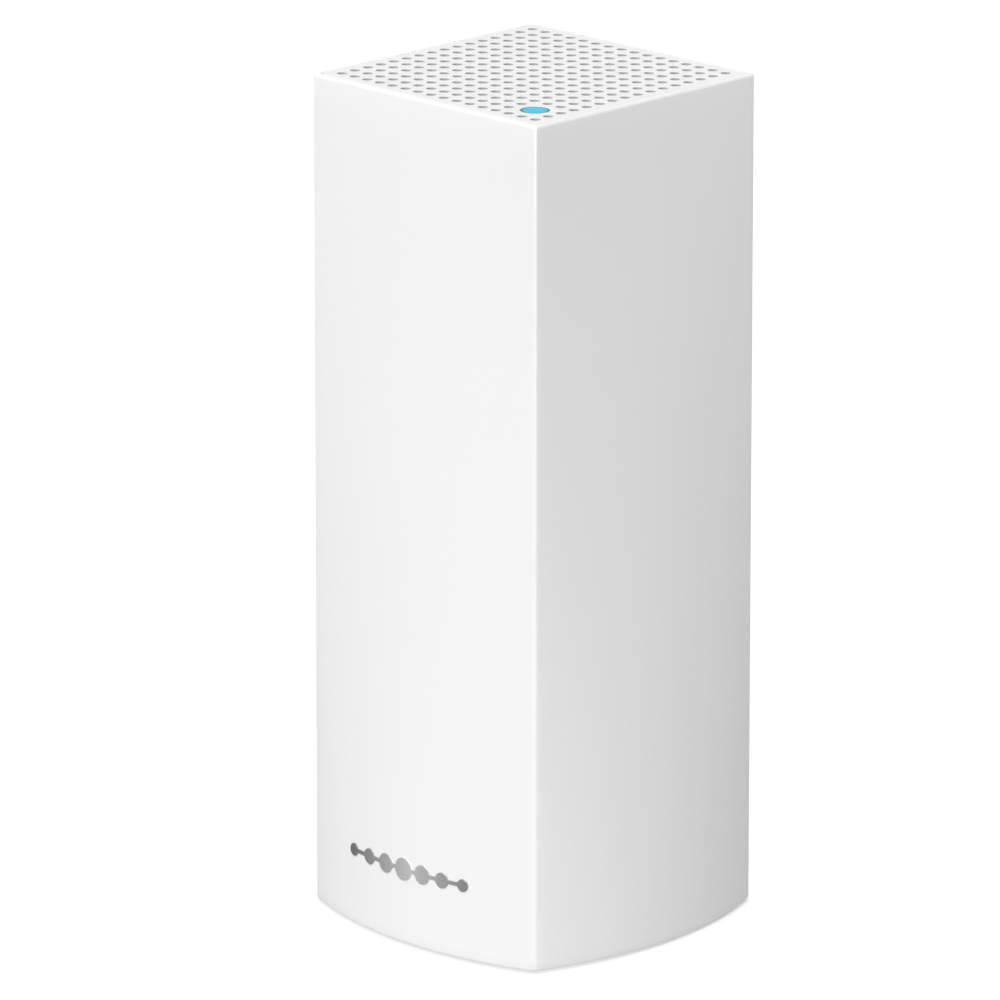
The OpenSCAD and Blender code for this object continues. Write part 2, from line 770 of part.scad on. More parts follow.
// --- Status light ---------------------------------------------------------------------------------
led_board_t = 1;
led_board_side = 15;
led_board_edge = 4.6;    // distance of the board's outer edges beyond the light's middle
z_led_board = z_frame_top;
led_size = [5, 5, 1.4];
flange_t = 1.3;
flange_extra = 2.4;
shroud_wall = 0.7;
led_shank_r = 1;
led_screw_in = 2.1;   // distance of the screw from the board's edges
led_screw_x = lens_x + led_board_edge - led_board_side + led_screw_in;
led_screw_y = -led_screw_x;
led_head_h = 0.9;

module status_lens() {
    color("deepskyblue") translate([lens_x, lens_y, 0]) {
        translate([0, 0, z_grille - flange_t]) cylinder(d = lens_d + flange_extra, h = flange_t);
        translate([0, 0, z_grille - 0.5]) cylinder(d = lens_d, h = grille_t + 0.5);
    }
}

module lens_shroud() {
    r = lens_d / 2 + flange_extra / 2 + 0.2;
    z0 = z_led_board + led_board_t;
    color("black") translate([lens_x, lens_y, z0]) difference() {
        cylinder(r = r, h = z_grille - flange_t - 0.1 - z0);
        translate([0, 0, -1]) cylinder(r = r - shroud_wall, h = z_grille);
    }
}

module led_board() {
    color("darkgreen") difference() {
        block(
            [lens_x + led_board_edge - led_board_side, lens_y - led_board_edge, z_led_board],
            [lens_x + led_board_edge, lens_y - led_board_edge + led_board_side, z_led_board + led_board_t]
        );
        translate([led_screw_x, led_screw_y, z_led_board - 1]) cylinder(r = led_shank_r + screw_gap, h = 3);
    }
}

module status_led() {
    color("white") slab(lens_x, lens_y, z_led_board + led_board_t, led_size);
}

module led_board_screw() {
    color("silver") translate([led_screw_x, led_screw_y, z_led_board + led_board_t + led_head_h])
        mirror([0, 0, 1]) screw(1.7, led_head_h, led_shank_r, led_board_t + frame_lid_t);
}

ribbon_w = 3;
ribbon_t = 0.3;
ribbon_x = min(lens_x + led_board_edge - 2, lid_open - 0.5) - ribbon_w / 2;
ribbon_y = board_face + 0.7;
connector_size = [6, 1.8, 4];
module led_ribbon() {
    z = z_led_board + led_board_t;
    y0 = lens_y - led_board_edge + led_board_side - 1.5;
    x0 = ribbon_x - ribbon_w / 2;
    x1 = ribbon_x + ribbon_w / 2;
    color("goldenrod") {
        block([x0, y0, z], [x1, ribbon_y + ribbon_t, z + ribbon_t]);
        block([x0, ribbon_y, z_connector], [x1, ribbon_y + ribbon_t, z + ribbon_t]);
    }
}
z_connector = z_board_top - 0.5;

module ribbon_connector() {
    half = connector_size[0] / 2;
    color("ivory") block(
        [ribbon_x - half, board_face, z_connector - connector_size[2]],
        [ribbon_x + half, board_face + connector_size[1], z_connector]
    );
}

outer_sleeve();
top_grille();
front_badge();
status_lens();
lens_shroud();
led_board();
status_led();
led_board_screw();
led_ribbon();
ribbon_connector();
antenna_frame();
antenna(site_left_front);  // antenna_left_front
antenna(site_left_rear);  // antenna_left_rear
antenna(site_right_front);  // antenna_right_front
antenna(site_right_rear);  // antenna_right_rear
antenna(site_front);  // antenna_front
antenna(site_rear);  // antenna_rear
lead(site_left_front, plug_left_front);  // lead_left_front
lead(site_left_rear, plug_left_rear);  // lead_left_rear
lead(site_right_front, plug_right_front);  // lead_right_front
lead(site_right_rear, plug_right_rear);  // lead_right_rear
lead(site_front, plug_front);  // lead_front
lead(site_rear, plug_rear);  // lead_rear
antenna_sockets();
main_board();
processor();
memory_chips();
radio_chips();
shield_can(-1, z_can_lower, can_l);  // shield_can_front_lower
shield_can(-1, z_can_upper, can_l);  // shield_can_front_upper
shield_can(1, rear_can_z, rear_can_l);  // shield_can_rear
thermal_pad(-1, z_can_lower, can_l);  // thermal_pad_front_lower
thermal_pad(-1, z_can_upper, can_l);  // thermal_pad_front_upper
thermal_pad(1, rear_can_z, rear_can_l);  // thermal_pad_rear
heat_sink(-1);  // heat_sink_front
heat_sink(1);  // heat_sink_rear
heat_sink_screws();
lan_transformers();
capacitors();
power_inductor();
jack(-1);  // jack_left
jack(1);  // jack_right
jack_shield(-1);  // jack_shield_left
jack_shield(1);  // jack_shield_right
jack_contacts(-1);  // jack_contacts_left
jack_contacts(1);  // jack_contacts_right
power_jack();
power_jack_pin();
switch_body();
power_slider();
reset_switch_body();
reset_plunger();
reset_button();
base_pan();
base_screws();
rating_label();
foot_pad(-1, -1);  // foot_front_left
foot_pad(1, -1);  // foot_front_right
foot_pad(-1, 1);  // foot_rear_left
foot_pad(1, 1);  // foot_rear_right
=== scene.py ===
"""Looks of a mesh wifi node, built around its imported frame.

Lengths are in metres, in the frame's own axes: +Z up the tower, the badge on the -Y side.
"""
import json
import math

import bpy
import numpy as np
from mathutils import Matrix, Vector


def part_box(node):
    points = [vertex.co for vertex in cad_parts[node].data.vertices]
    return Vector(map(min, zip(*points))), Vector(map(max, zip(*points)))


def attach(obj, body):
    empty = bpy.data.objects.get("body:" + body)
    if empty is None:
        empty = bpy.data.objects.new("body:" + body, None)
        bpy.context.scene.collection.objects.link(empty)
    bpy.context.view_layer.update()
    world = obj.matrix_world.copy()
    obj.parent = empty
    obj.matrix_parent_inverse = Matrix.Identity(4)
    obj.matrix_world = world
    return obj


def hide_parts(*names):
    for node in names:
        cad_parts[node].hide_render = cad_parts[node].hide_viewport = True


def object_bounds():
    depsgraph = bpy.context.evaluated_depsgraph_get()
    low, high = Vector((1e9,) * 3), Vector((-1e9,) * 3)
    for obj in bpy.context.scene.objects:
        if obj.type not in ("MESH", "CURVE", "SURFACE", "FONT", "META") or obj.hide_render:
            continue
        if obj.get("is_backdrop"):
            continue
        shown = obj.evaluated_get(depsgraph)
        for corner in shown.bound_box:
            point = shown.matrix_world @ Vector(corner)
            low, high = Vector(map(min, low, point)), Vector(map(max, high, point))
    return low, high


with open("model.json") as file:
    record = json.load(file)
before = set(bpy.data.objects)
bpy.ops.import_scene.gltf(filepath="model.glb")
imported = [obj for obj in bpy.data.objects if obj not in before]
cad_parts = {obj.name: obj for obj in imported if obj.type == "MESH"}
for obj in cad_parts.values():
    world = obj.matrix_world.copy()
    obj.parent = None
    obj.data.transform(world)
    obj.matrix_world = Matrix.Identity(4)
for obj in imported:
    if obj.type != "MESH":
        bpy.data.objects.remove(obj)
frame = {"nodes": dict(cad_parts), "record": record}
CAD_LOW, CAD_HIGH = (list(corner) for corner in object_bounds())

bl_info = {
    "name": "Mesh Wifi Node",
    "version": (1, 0, 0),
    "blender": (4, 5, 0),
    "location": "View3D > Sidebar > Wifi Node",
    "description": "Builds the visible pieces, finishes and studio of a mesh wifi node",
    "category": "Object",
}

MM = 0.001
ROOT = "tower"
SLEEVE_LOW, SLEEVE_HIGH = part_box("outer_sleeve")
PLATE_LOW, PLATE_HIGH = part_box("top_grille")
LENS_LOW, LENS_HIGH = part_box("status_lens")
BADGE_LOW, BADGE_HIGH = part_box("front_badge")
LABEL_LOW, LABEL_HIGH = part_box("rating_label")
SLOT_OF = {s["node"]: s["material_slot"] for s in frame["record"]["subparts"]}
COLOUR_OF = {m["slot"]: tuple(m["base_color"][:3]) for m in frame["record"]["materials"]}


# --- Settings -------------------------------------------------------------------------------


def length(name, default, text):
    """A length that a user may change, in metres."""
    return bpy.props.FloatProperty(
        name=name, default=default, description=text, min=0, unit="LENGTH", precision=5)


def amount(name, default, text, least=0):
    """A number that a user may change."""
    return bpy.props.FloatProperty(name=name, default=default, description=text, min=least)


def angle(name, degrees, text):
    """An angle that a user may change."""
    return bpy.props.FloatProperty(
        name=name, default=math.radians(degrees), description=text, subtype="ANGLE")


def colour(name, default, text):
    """A colour that a user may change, linear."""
    return bpy.props.FloatVectorProperty(
        name=name, default=default, description=text, subtype="COLOR", size=3, min=0, max=1)


class TowerSizes(bpy.types.PropertyGroup):
    """Sizes of the sleeve."""
    height: length("Height", SLEEVE_HIGH[2], "Top of the tower above the desk")
    foot_gap: length("Foot gap", SLEEVE_LOW[2], "Lower edge of the sleeve above the desk")
    top_side: length("Top side", 66.0 * MM, "Side of the square top")
    base_side: length("Base side", 66.6 * MM, "Side of the square between the corners at the foot")
    base_bulge: length("Bulge", 6.7 * MM, "How far each side bows out at the foot")
    wall: length("Wall", 2.0 * MM, "Wall of the sleeve")
    edge: length("Edge", 0.8 * MM, "Radius of the softened top and upright edges")
    soft: length("Soft edge", 0.4 * MM, "Radius of the softened lower edge and cut-out")
    rim: length("Rim", 1.2 * MM, "Width of the rim around the vent plate")
    cord_width: length("Cut-out width", 24 * MM, "Width of the cord cut-out at the back")
    cord_height: length("Cut-out height", 12 * MM, "Height of the cord cut-out")
    cord_corner: length("Cut-out corner", 3 * MM, "Corner radius of the cord cut-out")


class PlateSizes(bpy.types.PropertyGroup):
    """Sizes of the vent plate, its light and the badge."""
    vents: bpy.props.IntProperty(
        name="Vents", default=16, min=4, description="Holes along each side of the vent plate")
    vent: length("Vent", 2.2 * MM, "Diameter of a vent hole")
    margin: length("Margin", 4.4 * MM, "From the tower's edge to the outermost holes' centres")
    chamfer: length("Chamfer", 0.05 * MM, "Softened edge of a vent hole")
    corner: length("Corner", 1.0 * MM, "Corner radius of the plate")
    light: length("Light", 6.2 * MM, "Diameter of the status light")
    light_gap: length("Light gap", 0.05 * MM, "Gap around the status light")
    dots: bpy.props.IntProperty(name="Dots", default=7, min=1, description="Dots on the badge")
    dot: length("Middle dot", 5.0 * MM, "Diameter of the badge's middle dot")
    dot_step: length("Dot step", 0.75 * MM, "How much smaller each next dot is")
    bar: length("Bar", 0.9 * MM, "Height of the bar that joins the dots")
    proud: length("Badge height", 0.25 * MM, "How far the badge stands out of the sleeve")


class Finishes(bpy.types.PropertyGroup):
    """Colours of the finishes that show most."""
    shell: colour("Shell", (0.87, 0.87, 0.87), "White of the sleeve and the vent plate")
    # The bore grey is painted shade: it darkens the vent holes' walls in place of their own shadow.
    bore_shade: colour("Bore", (0.60, 0.60, 0.60), "Grey inside the vent holes")
    light: colour("Light", (0.055, 0.54, 0.76), "Colour of the status light")
    glow: amount("Glow", 0.55, "How brightly the status light shines")
    # The foil's dark and light greys are the ends of a painted reflection swept along the badge.
    foil_reflection_dark: colour("Foil dark", (0.24, 0.24, 0.245), "Darkest grey of the badge's foil")
    foil_reflection_light: colour("Foil light", (0.86, 0.86, 0.865), "Lightest grey of the badge's foil")


class StudioSettings(bpy.types.PropertyGroup):
    """Camera and light."""
    azimuth: angle("Azimuth", 44.62, "Camera's turn from the badge side towards +X")
    elevation: angle("Elevation", 16.695, "Camera's angle above the horizon")
    distance: length("Distance", 1.6698, "From the camera to the tower's middle")
    lens: amount("Lens", 280.33, "Focal length on a 36 mm sensor, in mm", least=1)
    aim_side: length("Aim side", 7.17 * MM, "How far the camera aims to the left of the middle")
    aim_drop: length("Aim drop", 1.52 * MM, "How far the camera aims below the middle")
    key: amount("Key", 2.52, "Strength of the key light, in W/m2")
    key_turn: angle("Key turn", 17, "Key light's turn from the badge side towards +X")
    key_height: angle("Key height", 55, "Key light's angle above the horizon")
    key_spread: angle("Key spread", 40, "Width of the key light in the sky")
    back: amount("Back", 0.7, "Strength of the weak light behind, in W/m2")
    back_turn: angle("Back turn", 205, "Back light's turn from the badge side towards +X")
    back_height: angle("Back height", 2, "Back light's angle above the horizon")
    back_spread: angle("Back spread", 30, "Width of the back light in the sky")
    glint: amount("Glint", 14.0, "Strength of the light that only upright edges mirror, in W/m2")
    glint_turn: angle("Glint turn", 6, "Glint's turn past the camera's")
    glint_height: angle("Glint height", 4, "Glint's angle above the horizon")
    glint_spread: angle("Glint spread", 40, "Width of the glint in the sky")
    fill: amount("Fill", 0.435, "Light that the surroundings shed")
    sheen: amount("Sheen", 0.45, "Brightness of reflected surroundings")
    floor_fill: amount("Floor fill", 0.735, "Light that the floor sheds")
    floor_sheen: amount("Floor sheen", 0.20, "Brightness of the reflected floor")


def sizes():
    """The tower's sizes as they are set now."""
    return bpy.context.scene.tower_sizes


def plate_sizes():
    """The plate's, the light's and the badge's sizes as they are set now."""
    return bpy.context.scene.plate_sizes


# --- Meshes ---------------------------------------------------------------------------------


def make_piece(name, points, quads, slot, finish, replaces=(), crease=35.0):
    """Makes a mesh piece of the tower from points (n, 3) and faces of four point numbers.

    Points in one place are merged, and a face that has lost a corner that way keeps the others.
    """
    keys = np.round(np.asarray(points) / (0.001 * MM)).astype(np.int64)
    _, first, number = np.unique(keys, axis=0, return_index=True, return_inverse=True)
    corners = number.ravel()[np.asarray(quads)]
    kept = corners != np.roll(corners, -1, axis=1)
    whole = kept.sum(axis=1) > 2
    corners, kept = corners[whole], kept[whole]
    counts = kept.sum(axis=1)
    used, corners = np.unique(corners[kept], return_inverse=True)
    place = np.asarray(points)[first][used]
    mesh = bpy.data.meshes.new(name)
    mesh.vertices.add(len(place))
    mesh.vertices.foreach_set("co", place.astype(np.float32).ravel())
    mesh.loops.add(len(corners))
    mesh.loops.foreach_set("vertex_index", corners.ravel().astype(np.int32))
    mesh.polygons.add(len(counts))
    starts = np.concatenate([[0], np.cumsum(counts)[:-1]])
    mesh.polygons.foreach_set("loop_start", starts.astype(np.int32))
    mesh.update(calc_edges=True)
    mesh.validate()
    mesh.shade_smooth()
    mesh.set_sharp_from_angle(angle=math.radians(crease))
    mesh.materials.append(finish)
    piece = bpy.data.objects.new(name, mesh)
    bpy.context.scene.collection.objects.link(piece)
    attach(piece, ROOT)
    if replaces:
        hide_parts(*replaces)
    return piece


def grid_quads(rows, columns, closed=True, start=0):
    """Faces of a grid of points numbered row by row; closed joins the last column to the first."""
    number = start + np.arange(rows * columns).reshape(rows, columns)
    near = number if closed else number[:, :-1]
    far = np.roll(number, -1, axis=1) if closed else number[:, 1:]
    return np.stack([near[:-1], far[:-1], far[1:], near[1:]], axis=-1).reshape(-1, 4)


def turned(x, y, quarters):
    """Turns x and y by quarter turns, anticlockwise from above."""
    c, s = [(1, 0), (0, 1), (-1, 0), (0, -1)][quarters % 4]
    return x * c - y * s, x * s + y * c


# --- The tower's surface --------------------------------------------------------------------


def side_at(t, z):
    """Side of the square between the corners: it runs straight from the base to the top."""
    return t.base_side + (t.top_side - t.base_side) * z / t.height


def bow_share(t, v):
    """Share of the bulge at v, -1 to 1 along a side: a circle's arc over its chord."""
    bulge = t.base_bulge
    radius = (t.base_side ** 2 / 4 + bulge ** 2) / (2 * bulge)
    return (np.sqrt(radius ** 2 - (v * t.base_side / 2) ** 2) - radius + bulge) / bulge


def side_point(t, v, z, inset):
    """x and y on the front side: the chord at half a side's distance, plus the bow's share.

    The bow fades in a straight line from the foot to nothing at the top.
    """
    half = side_at(t, z) / 2 - inset
    bow = t.base_bulge * (1 - z / t.height) * bow_share(t, v)
    return half * v, -half - bow


SIDE_COLUMNS = 40
CORNER_COLUMNS = 9
FLANK_COLUMNS = 14
ARC_COLUMNS = 7
LINTEL_COLUMNS = 14
LOW_ROWS = 5
MID_ROWS = 5
HIGH_ROWS = 26
LEVEL_AGAIN = 3 * MM  # the rows are level from this far above the cord cut-out
BACK_COLUMNS = 2 * FLANK_COLUMNS + 2 * ARC_COLUMNS + LINTEL_COLUMNS
SIDE_COUNTS = [SIDE_COLUMNS + 1, SIDE_COLUMNS + 1, BACK_COLUMNS + 1, SIDE_COLUMNS + 1]
BACK = 2
BACK_START = sum(SIDE_COUNTS[:BACK]) + BACK * CORNER_COLUMNS
RING = sum(SIDE_COUNTS) + 4 * CORNER_COLUMNS
CUT_FIRST = BACK_START + FLANK_COLUMNS
CUT_LAST = BACK_START + BACK_COLUMNS - FLANK_COLUMNS


def cut_outline(t, grow):
    """x and z along the cord cut-out's edge: a quarter circle, a straight lintel, a quarter circle.

    grow makes the opening that much larger all round.
    """
    angle = np.linspace(0, math.pi / 2, ARC_COLUMNS + 1)
    middle = t.cord_width / 2 - t.cord_corner
    radius = t.cord_corner + grow
    arc_x = middle + radius * np.cos(angle)
    arc_z = t.cord_height - t.cord_corner + radius * np.sin(angle)
    lintel = np.linspace(-middle, middle, LINTEL_COLUMNS + 1)[1:-1]
    x = np.concatenate([-arc_x, lintel, arc_x[::-1]])
    z = np.concatenate([arc_z, np.full(len(lintel), t.cord_height + grow), arc_z[::-1]])
    return x, z


def tower_points(t, z, inset, grow):
    """Points of the tower's surface for heights z[row, column], anticlockwise from the front left.

    Each side is its chord plus the bow. Each corner is a quadratic Bezier curve from the end of one
    side to the start of the next, with the sharp corner as its middle control point.
    """
    end = 1 - 2 * t.edge / t.base_side
    plain = np.linspace(-end, end, SIDE_COLUMNS + 1)
    cut_x, _ = cut_outline(t, grow)
    share = np.linspace(0, 1, FLANK_COLUMNS + 1)[:-1]
    bend = np.linspace(0, 1, CORNER_COLUMNS + 2)[1:-1]
    parts, column = [], 0
    for quarter, count in enumerate(SIDE_COUNTS):
        high = z[:, column:column + count]
        v = plain
        if quarter == BACK:
            half = side_at(t, high) / 2 - inset
            flank = half[:, :FLANK_COLUMNS] * -end * (1 - share) + cut_x[0] * share
            x = np.concatenate([flank, np.tile(cut_x, (len(z), 1)), -flank[:, ::-1]], axis=1)
            v = x / half
        x, y = side_point(t, v, high, inset)
        parts.append(np.stack([*turned(x, y, quarter), high], axis=-1))
        column += count
        high = z[:, column:column + CORNER_COLUMNS]
        ax, ay = side_point(t, end, high, inset)
        bx, by = side_point(t, 1.0, high, inset)
        cx, cy = turned(*side_point(t, -end, high, inset), 1)
        x = (1 - bend) ** 2 * ax + 2 * bend * (1 - bend) * bx + bend ** 2 * cx
        y = (1 - bend) ** 2 * ay + 2 * bend * (1 - bend) * by + bend ** 2 * cy
        parts.append(np.stack([*turned(x, y, quarter), high], axis=-1))
        column += CORNER_COLUMNS
    return np.concatenate(parts, axis=1)


def sleeve_heights(t, grow, top):
    """Height of every grid point: level rows, which rise over the cord cut-out's edge."""
    sill = t.cord_height - t.cord_corner
    above = t.cord_height + LEVEL_AGAIN
    low = np.linspace(t.foot_gap + grow, sill, LOW_ROWS + 1)[:-1]
    mid = np.linspace(0, 1, MID_ROWS + 1)[:-1]
    high = np.linspace(above, top, HIGH_ROWS + 1)
    rows = np.concatenate([low, sill + mid * (above - sill), high])
    z = np.repeat(rows[:, None], RING, axis=1)
    _, edge = cut_outline(t, grow)
    z[LOW_ROWS:LOW_ROWS + MID_ROWS, CUT_FIRST:CUT_LAST + 1] = edge + mid[:, None] * (above - edge)
    return z


def quarter_round(radius, steps):
    """Distances in from an edge and down to it, along a quarter circle that rounds it."""
    angle = np.linspace(0, math.pi / 2, steps + 1)
    return radius * (1 - np.cos(angle)), radius * (1 - np.sin(angle))


LIP = 0.15 * MM  # radius of the rim's inner edge


def sleeve_mesh(t):
    """Outer skin, rolled top rim, inner skin and rounded lower edge of the sleeve, as one shell.

    The two skins are the tower's surface at inset 0 and at the wall's inset. Rings carry the top
    edge over a quarter circle and down into the plate's seat. Below, the edge of the skins, with
    the cord cut-out, is carried from one to the other over two quarter circles.
    """
    seat = PLATE_LOW[2]
    soft_in, soft_back = quarter_round(t.soft, 4)
    layers = [*zip(soft_in, soft_back), *zip(t.wall - soft_in[::-1], soft_back[::-1])]
    tops = [t.height - t.edge] * (len(layers) - 1) + [seat]
    skins = [
        tower_points(t, sleeve_heights(t, grow, top), inset, grow)
        for (inset, grow), top in zip(layers, tops)
    ]
    rows = skins[0].shape[0]
    size = rows * RING
    cells = np.ones((rows - 1, RING), bool)
    cells[:LOW_ROWS, CUT_FIRST:CUT_LAST] = False
    quads = grid_quads(rows, RING).reshape(rows - 1, RING, 4)
    below = np.vstack([np.zeros((1, RING), bool), cells[:-1]])
    edge = np.concatenate([
        quads[cells & ~below][:, [0, 1]],
        quads[cells & ~np.roll(cells, -1, axis=1)][:, [1, 2]],
        quads[cells & ~np.roll(cells, 1, axis=1)][:, [3, 0]],
    ])
    last = (len(layers) - 1) * size
    faces = [quads[cells], quads[cells][:, ::-1] + last]
    for k in range(len(layers) - 1):
        a, b = edge[:, 0] + k * size, edge[:, 1] + k * size
        faces.append(np.stack([b, a, a + size, b + size], axis=-1))
    roll_in, roll_down = quarter_round(t.edge, 8)
    lip_in, lip_down = quarter_round(LIP, 3)
    rings = [
        *zip(t.height - roll_down[1:], roll_in[1:]),
        *zip(t.height - lip_in, t.rim - lip_down),
        (seat, t.rim),
    ]
    ring_points = [
        tower_points(t, np.full((1, RING), z), inset, t.soft)[0] for z, inset in rings
    ]
    number = last + size
    chain = [np.arange(size - RING, size)]
    for k in range(len(rings)):
        chain.append(number + k * RING + np.arange(RING))
    chain.append(np.arange(last + size - RING, last + size))
    for low, high in zip(chain[:-1], chain[1:]):
        faces.append(np.stack([low, np.roll(low, -1), np.roll(high, -1), high], axis=-1))
    points = np.concatenate([*(s.reshape(-1, 3) for s in skins), *ring_points])
    return points, np.concatenate(faces)


# --- The vent plate -------------------------------------------------------------------------


VENT_STEPS = 4
PLATE_SOFT = 0.12 * MM  # softened outer edge of the plate


def square_loop(half, steps):
    """Points around a square, steps to a side, anticlockwise from its lower left corner."""
    run = np.linspace(-half, half, steps + 1)[:-1]
    x, y = run, np.full(steps, -half)
    parts = [np.stack(turned(x, y, quarter), axis=-1) for quarter in range(4)]
    return np.concatenate(parts)


def pierced_cell(half, radius, chamfer, low, high, steps):
    """Rings of a square tile with a round hole: top square, chamfer, wall, chamfer, bottom square.

    Each ring's points lie on the rays from the middle through the square's points.
    """
    square = square_loop(half, steps)
    ray = square / np.linalg.norm(square, axis=1, keepdims=True)
    rings = [
        (square, low), (ray * (radius + chamfer), low), (ray * radius, low + chamfer),
        (ray * radius, high - chamfer), (ray * (radius + chamfer), high), (square, high),
    ]
    return np.stack([np.column_stack([xy, np.full(len(xy), z)]) for xy, z in rings])


def plate_mesh(t, p):
    """The vent plate: a tile for each hole, one larger tile for the light, and a border.

    The border's outline is the tiles' square scaled out, with its corners pulled onto a circle.
    """
    low, high = PLATE_LOW[2], PLATE_HIGH[2]
    span = t.top_side / 2 - p.margin
    pitch = 2 * span / (p.vents - 1)
    light = light_place(t, p)
    points, faces, count = [], [], 0

    def put(rings):
        nonlocal count
        rows, columns = rings.shape[:2]
        points.append(rings.reshape(-1, 3))
        faces.append(grid_quads(rows, columns, start=count))
        count += rows * columns

    tile = pierced_cell(pitch / 2, p.vent / 2, p.chamfer, low, high, VENT_STEPS)
    lane = span - pitch * np.arange(p.vents)
    for x, y in np.stack(np.meshgrid(lane, -lane), axis=-1).reshape(-1, 2):
        if max(abs(x - light[0]), abs(y - light[1])) > pitch:
            put(tile + (x, y, 0))
    hole = p.light / 2 + p.light_gap
    put(pierced_cell(pitch, hole, p.chamfer, low, high, 2 * VENT_STEPS) + (*light, 0))
    inner = square_loop(span + pitch / 2, VENT_STEPS * p.vents)
    half = PLATE_HIGH[0]
    outer = inner * (half / (span + pitch / 2))
    core = np.clip(outer, -(half - p.corner), half - p.corner)
    away = outer - core
    outer = core + away / np.maximum(np.linalg.norm(away, axis=1, keepdims=True), 1e-9) * p.corner
    shrunk = outer * (1 - PLATE_SOFT / half)
    rings = [
        (inner, high), (shrunk, high), (outer, high - PLATE_SOFT), (outer, low), (inner, low)]
    border = np.stack([np.column_stack([xy, np.full(len(xy), z)]) for xy, z in rings])
    put(border[::-1])
    return np.concatenate(points), np.concatenate(faces)


def light_place(t, p):
    """Middle of the status light: one and a half pitches in from the front right corner hole."""
    span = t.top_side / 2 - p.margin
    x = span - 1.5 * 2 * span / (p.vents - 1)
    return np.array([x, -x])


def revolved(profile, middle, steps=64):
    """Turns pairs (radius, height) about an upright axis: points = radius along each direction."""
    angle = np.arange(steps) * 2 * math.pi / steps
    profile = np.asarray(profile)
    ring = np.stack([np.cos(angle), np.sin(angle)], axis=-1)
    xy = profile[:, None, :1] * ring[None] + middle
    z = np.repeat(profile[:, 1:], steps, axis=1)[..., None]
    return np.concatenate([xy, z], axis=-1)


def lens_mesh(t, p):
    """Flanged lens: its head ends a little below the plate's top in a shallow dome.

    The dome's drop grows with the square of the radius.
    """
    radius = p.light / 2
    flange = (LENS_HIGH[0] - LENS_LOW[0]) / 2
    dome = 0.10 * MM
    across = np.linspace(0, 1, 7)[:-1]
    soft = 0.2 * MM
    in_, down = quarter_round(soft, 3)
    top = LENS_HIGH[2]
    profile = [
        (0, LENS_LOW[2]), (flange, LENS_LOW[2]), (flange, PLATE_LOW[2]), (radius, PLATE_LOW[2]),
        *zip(radius - in_, top - dome - down),
        *zip((radius - soft) * across[::-1], top - dome * across[::-1] ** 2),
    ]
    rings = revolved(profile, light_place(t, p))
    return rings.reshape(-1, 3), grid_quads(*rings.shape[:2])


# --- The badge ------------------------------------------------------------------------------


def on_front(t, x, z, proud):
    """Points on the front side at x and z, standing proud of it."""
    half = side_at(t, z) / 2 + proud
    _, y = side_point(t, x / half, z, -proud)
    return np.stack([x + 0 * y, y, z + 0 * y], axis=-1)


def badge_mesh(t, p):
    """A row of round dots that grow towards the middle, and the bar through them.

    A dot's rings run from its middle out, over a quarter circle and down into the sleeve. The bar
    is a soft-edged outline carried along x.
    """
    middle = (BADGE_LOW[2] + BADGE_HIGH[2]) / 2
    last = (p.dots - 1) / 2
    end_dot = (p.dot - p.dot_step * last) / 2
    pitch = (BADGE_HIGH[0] - end_dot) / last
    soft, sunk = 0.1 * MM, -0.05 * MM
    in_, down = quarter_round(soft, 3)
    points, faces, count = [], [], 0
    angle = np.arange(48) * 2 * math.pi / 48
    for place in np.arange(-last, last + 1):
        radius = (p.dot - p.dot_step * abs(place)) / 2
        inner = np.linspace(0, 1, 5)[:-1] * (radius - soft)
        across = np.concatenate([[0], [radius], radius - in_, inner[::-1]])
        proud = np.concatenate([[sunk], [sunk], p.proud - down, np.full(len(inner), p.proud)])
        x = place * pitch + across[:, None] * np.cos(angle)
        z = middle + across[:, None] * np.sin(angle)
        ring = on_front(t, x, z, np.repeat(proud[:, None], len(angle), axis=1))
        points.append(ring.reshape(-1, 3))
        faces.append(grid_quads(*ring.shape[:2], start=count))
        count += ring.shape[0] * ring.shape[1]
    half = p.bar / 2
    thick = p.proud * 0.7
    low = np.concatenate([[half], half - in_, -(half - in_)[::-1], [-half]])
    proud = np.concatenate([[sunk], thick - down, (thick - down)[::-1], [sunk]])
    run = np.linspace(-last * pitch, last * pitch, 65)
    x = np.repeat(run[:, None], len(low), axis=1)
    bar = on_front(t, x, middle + low[None] + 0 * x, proud[None] + 0 * x)
    caps = [np.repeat(end.mean(axis=0)[None, None], len(low), axis=1) for end in (bar[0], bar[-1])]
    bar = np.concatenate([caps[0], bar, caps[1]])
    points.append(bar.reshape(-1, 3))
    faces.append(grid_quads(*bar.shape[:2], start=count))
    return np.concatenate(points), np.concatenate(faces)


# --- Finishes -------------------------------------------------------------------------------


